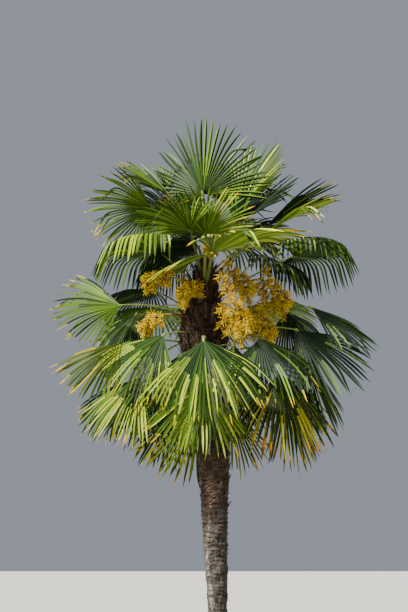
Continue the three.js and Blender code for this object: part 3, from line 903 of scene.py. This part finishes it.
def grow_hub(pile, leaf):
    """The knuckle where the stalk passes into the blade."""
    shares = np.array([-1, -0.6, 0, 0.6, 1])
    size = np.sqrt(np.clip(1 - shares ** 2, 0.02, 1))
    middle = leaf["hub"] - leaf["normal"] * 0.006
    centre = middle + leaf["forward"] * column(shares * 0.03 + 0.004)
    rings = []
    for k in range(8):
        a = 2 * math.pi * k / 8
        wide = leaf["side"] * column(size * 0.013 * math.cos(a))
        deep = leaf["normal"] * column(size * 0.010 * math.sin(a))
        rings.append(centre + wide - deep)
    pile.loft(np.stack(rings, 1)[None], STALK_GREEN)


# A closed flower
OCTAHEDRON = np.array([
    (1, 0, 0), (-1, 0, 0), (0, 1, 0), (0, -1, 0), (0, 0, 1), (0, 0, -1),
])
OCTAHEDRON_FACES = np.array([
    (0, 2, 4), (2, 1, 4), (1, 3, 4), (3, 0, 4), (2, 0, 5), (1, 2, 5), (3, 1, 5), (0, 3, 5),
])


def grow_panicle(flowers, stalks, row, rng):
    """A branched spray: stalk, spine, branches by golden turn, twigs and flowers."""
    azimuth, height, rise, reach, mass_azimuth, mass_rise, mass_length, mass_radius, spikes = row
    root = trunk_axis(height)
    start = root + direction(azimuth, rise) * reach
    grow_panicle_stalk(stalks, root, start, reach)
    along = direction(mass_azimuth, mass_rise)
    across = direction(mass_azimuth + 90, 0)
    above = np.cross(along, across)
    grow_spine(stalks, start, along, mass_length)
    branches = spikes * BRANCHES_PER_SPIKE
    for k in range(branches):
        share = (k + 0.5) / branches
        angle = math.radians(k * GOLDEN_TURN)
        sideways = across * math.cos(angle) + above * math.sin(angle)
        out = unit(sideways + along * lerp(-0.2, 1.1, share))
        foot = start + along * mass_length * lerp(0.02, 0.95, share)
        length = mass_radius * SPIKE_REACH * (0.8 + 0.35 * math.sin(k * 1.7)) * (1 - 0.25 * share)
        length += mass_radius * 0.2
        knee = foot + out * length * 0.55 + UP * length * 0.06
        tip = foot + out * length * 0.85 - UP * length * 0.36
        grow_branch(stalks, foot, knee, tip)
        grow_twigs(flowers, foot, knee, tip, length, rng)


def grow_panicle_stalk(stalks, root, start, reach):
    """The arching stalk of a panicle, with red-brown bracts along most of it."""
    bend = lerp(root, start, 0.5) + UP * reach * 0.14
    t = np.linspace(0, 1, 11)
    half = lerp(0.030, 0.018, t) / 2
    centre = bezier(root, bend, start, t)
    heading = bezier_heading(root, bend, start, t)
    tones = np.full((1, 10, 8), PANICLE_STALK)
    tones[:, :7] = PANICLE_BRACT
    stalks.loft(tube_rings(centre, heading, half, half * 0.8, 8)[None], tones)


def grow_spine(stalks, start, along, mass_length):
    """The straight middle of the flower mass."""
    spine = start + along * column(mass_length * np.linspace(-0.04, 1, 7))
    heading = np.broadcast_to(along, spine.shape)
    half = np.linspace(0.009, 0.003, 7)
    stalks.loft(tube_rings(spine, heading, half, half, 6)[None], PANICLE_BRANCH)


def grow_branch(stalks, foot, knee, tip):
    """A thin branch that leaves the spine and hangs over."""
    steps = np.linspace(0, 1, 5)
    centre = bezier(foot, knee, tip, steps)
    heading = bezier_heading(foot, knee, tip, steps)
    half = np.linspace(0.0045, 0.0022, 5)
    stalks.loft(tube_rings(centre, heading, half, half, 4)[None], PANICLE_BRANCH)


def grow_twigs(flowers, foot, knee, tip, length, rng):
    """Twigs all round a branch, each set with flowers."""
    n = TWIGS_PER_BRANCH
    t = np.linspace(0.3, 0.97, n)
    base = bezier(foot, knee, tip, t)
    way = bezier_heading(foot, knee, tip, t)
    turn = np.radians(np.arange(n) * GOLDEN_TURN + rng.uniform(0, 360))
    across = unit(np.cross(way, UP))
    above = np.cross(across, way)
    out = across * column(np.cos(turn)) + above * column(np.sin(turn))
    heading = unit(way * 0.75 + out * column(rng.uniform(0.55, 1.0, n)) - UP * 0.1)
    size = length * rng.uniform(0.34, 0.52, n) * (1.15 - 0.45 * t)
    end = base + heading * column(size) + UP * column(size * rng.uniform(-0.12, 0.16, n))
    side = unit(np.cross(heading, UP))
    top = np.cross(side, heading)
    stem = []
    for share, thick in ((0, 0.0018), (1, 0.0010)):
        middle = lerp(base, end, share)
        corners = [side * thick * math.cos(a) - top * thick * math.sin(a) for a in (0, 2.09, 4.19)]
        stem.append(np.stack([middle + corner for corner in corners], 1))
    flowers.loft(np.stack(stem, 1), FLOWER_STEM)
    grow_flowers(flowers, base, end, side, top, t, rng)


def grow_flowers(flowers, base, end, side, top, t, rng):
    """Small closed flowers wound round the twigs, with painted shade: darker deep in the spray,
    paler towards the ends of twig and branch.
    """
    n = len(base)
    m = FLOWERS_PER_TWIG
    share = (np.arange(m) + 0.6) / m
    spin = np.arange(m) * 2.4 + rng.uniform(0, 6.3, (n, 1))
    offset = FLOWER_OFFSET * (1.1 - 0.4 * share)
    around = side[:, None] * column(np.cos(spin)) + top[:, None] * column(np.sin(spin))
    centre = base[:, None] + (end - base)[:, None] * column(share) + around * column(offset)
    size = rng.uniform(0.0026, 0.0044, (n, m)) * (1.08 - 0.25 * share)
    points = centre.reshape(-1, 1, 3) + OCTAHEDRON[None] * size.reshape(-1, 1, 1)
    # Painted shade: flowers near the foot of twig and branch come out darker, the outer ones paler.
    light = 0.45 * share + 0.35 * column(t)
    light = light + rng.uniform(-0.08, 0.3, (n, 1)) + rng.uniform(-0.1, 0.1, (n, m))
    steps = [light > 0.6, light > 0.36, light > 0.24]
    tones = np.select(steps, [FLOWER_PALE, FLOWER_GOLD, FLOWER_STEM], FLOWER_DEEP)
    flowers.add(points, OCTAHEDRON_FACES, np.repeat(tones.reshape(-1, 1), 8, 1))


# Patterned materials: name, dark colour, pale colour, scale and stretch of the noise,
# roughness, strength of the bump
BARK_LOOKS = [
    ("trunk_bark", (0.005, 0.004, 0.003), (0.072, 0.060, 0.050), 26, (0.6, 0.6, 1.6), 0.9, 0.8),
    ("trunk_mat", (0.004, 0.002, 0.001), (0.062, 0.038, 0.023), 34, (0.5, 0.5, 1.8), 0.9, 0.8),
    ("trunk_head", (0.004, 0.002, 0.001), (0.032, 0.018, 0.010), 40, (1, 1, 0.4), 0.9, 0.6),
    # The ridge: pale bark, partly painted highlight
    ("trunk_ridge", (0.020, 0.015, 0.011), (0.230, 0.190, 0.160), 30, (1, 1, 0.8), 0.9, 0.8),
]
BASE_LOOKS = [
    ("base_dark", (0.012, 0.007, 0.004), (0.045, 0.026, 0.015), 50, (1, 1, 0.3), 0.85, 0.5),
    ("base_brown", (0.030, 0.017, 0.009), (0.090, 0.052, 0.028), 50, (1, 1, 0.3), 0.85, 0.5),
    ("base_tan", (0.035, 0.025, 0.017), (0.095, 0.070, 0.050), 50, (1, 1, 0.3), 0.85, 0.5),
]
STALK_LOOKS = [
    ("stalk_base", (0.030, 0.018, 0.009), (0.070, 0.055, 0.022), 60, (1, 1, 0.3), 0.7, 0.3),
    ("stalk_green", (0.050, 0.085, 0.008), (0.110, 0.160, 0.016), 30, (1, 1, 1), 0.45, 0.1),
    ("stalk_pale", (0.140, 0.190, 0.022), (0.220, 0.270, 0.040), 30, (1, 1, 1), 0.45, 0.1),
]
PANICLE_LOOKS = [
    ("flower_stalk", (0.200, 0.170, 0.020), (0.320, 0.280, 0.040), 40, (1, 1, 1), 0.5, 0.1),
    ("flower_branch", (0.120, 0.080, 0.003), (0.220, 0.150, 0.006), 40, (1, 1, 1), 0.5, 0.1),
    ("flower_bract", (0.090, 0.016, 0.006), (0.260, 0.080, 0.030), 40, (1, 1, 1), 0.6, 0.3),
]

# Plain materials: name, colour, roughness
HAIR_LOOKS = [
    ("fibre_dark", (0.015, 0.009, 0.006), 0.9),
    ("fibre_brown", (0.045, 0.025, 0.014), 0.9),
    ("fibre_tan", (0.110, 0.080, 0.052), 0.9),
    ("fibre_red", (0.065, 0.028, 0.014), 0.9),
]
FLOWER_LOOKS = [
    ("flower_pale", (0.560, 0.420, 0.001), 0.8),
    ("flower_gold", (0.440, 0.260, 0.001), 0.8),
    ("flower_stem", (0.230, 0.110, 0.001), 0.8),
    ("flower_deep", (0.110, 0.040, 0.001), 0.8),
]


def patterned(looks):
    return [patterned_material(*look) for look in looks]


def matt(looks):
    return [plain_material(*look, 0.2) for look in looks]


def make_leaves(leaves):
    rng = np.random.default_rng(23)
    materials = [
        plain_material("leaf_" + name, colour, roughness, 0.12)
        for name, (colour, roughness) in LEAF_TONES.items()
    ]
    groups = (
        ("fan_leaves_upper", leaves[:UPPER_LEAVES]),
        ("fan_leaves_skirt", leaves[UPPER_LEAVES:]),
    )
    for name, members in groups:
        pile = Pile()
        for leaf in members:
            grow_blade(pile, leaf, rng)
        add_piece(name, pile, materials, [leaf["node"] for leaf in members])


def make_stalks(leaves):
    rng = np.random.default_rng(31)
    pile = Pile()
    for leaf in leaves:
        grow_stalk(pile, leaf, rng)
    materials = [*patterned(STALK_LOOKS), plain_material("stalk_teeth", (0.120, 0.090, 0.030), 0.6)]
    add_piece("leaf_stalks", pile, materials, [leaf["node"] for leaf in leaves])


def make_flowers():
    rng = np.random.default_rng(47)
    materials = matt(FLOWER_LOOKS)
    stalks = Pile()
    groups = (("flowers_right", 0, 2), ("flowers_low", 2, 4), ("flowers_left", 4, 8))
    names = [f"panicle_{k + 1}" for k in range(len(PANICLES))]
    for name, first, last in groups:
        flowers = Pile()
        for row in PANICLES[first:last]:
            grow_panicle(flowers, stalks, row, rng)
        add_piece(name, flowers, materials, names[first:last])
    add_piece("flower_stalks", stalks, patterned(PANICLE_LOOKS), names)


def make_trunk():
    rng = np.random.default_rng(5)
    bark = patterned(BARK_LOOKS)
    add_piece("trunk_bark", build_bark(), bark, ["trunk"], shaded_smooth=True)
    wood = patterned(BASE_LOOKS)
    add_piece("leaf_bases", build_stubs(rng), wood, ["trunk"])
    hair = matt(HAIR_LOOKS)
    add_piece("trunk_fibres", build_hairs(rng), hair, ["trunk"])
    add_piece("leaf_sheaths", build_sheaths(rng), [*wood, hair[-1]], ["trunk"])


def make_floor():
    mesh = bpy.data.meshes.new("floor")
    corners = [(x * FLOOR_HALF, y * FLOOR_HALF, 0) for x, y in ((-1, -1), (1, -1), (1, 1), (-1, 1))]
    mesh.from_pydata(corners, [], [(0, 1, 2, 3)])
    mesh.materials.append(plain_material("floor", (0.28, 0.28, 0.27), 0.9, 0.2))
    floor = bpy.data.objects.new("floor", mesh)
    bpy.context.scene.collection.objects.link(floor)


def make_light():
    world = bpy.data.worlds.new("studio")
    world.use_nodes = True
    background = world.node_tree.nodes["Background"]
    background.inputs["Color"].default_value = (0.80, 0.88, 1.0, 1)
    background.inputs["Strength"].default_value = 0.36
    bpy.context.scene.world = world
    add_sun("key", 18.5, 4, (1.0, 0.96, 0.88), (44, -12, -38))
    add_sun("rim", 3.5, 25, (1.0, 1.0, 1.0), (52, 0, 150))


def add_sun(name, energy, angle, colour, turn):
    """A sun of this width in degrees, turned from straight down."""
    lamp = bpy.data.lights.new(name, "SUN")
    lamp.energy = energy
    lamp.angle = math.radians(angle)
    lamp.color = colour
    sun = bpy.data.objects.new(name, lamp)
    sun.rotation_euler = [math.radians(degrees) for degrees in turn]
    bpy.context.scene.collection.objects.link(sun)


def make_camera():
    data = bpy.data.cameras.new("camera")
    data.lens = LENS
    data.sensor_width = SENSOR
    data.clip_end = 500
    camera = bpy.data.objects.new("camera", data)
    camera.location = CAMERA_PLACE
    camera.rotation_euler = (math.radians(90 + CAMERA_PITCH), 0, 0)
    bpy.context.scene.collection.objects.link(camera)
    bpy.context.scene.camera = camera


tree_leaves = leaf_list()
make_trunk()
make_stalks(tree_leaves)
make_leaves(tree_leaves)
make_flowers()
make_floor()
make_light()
make_camera()
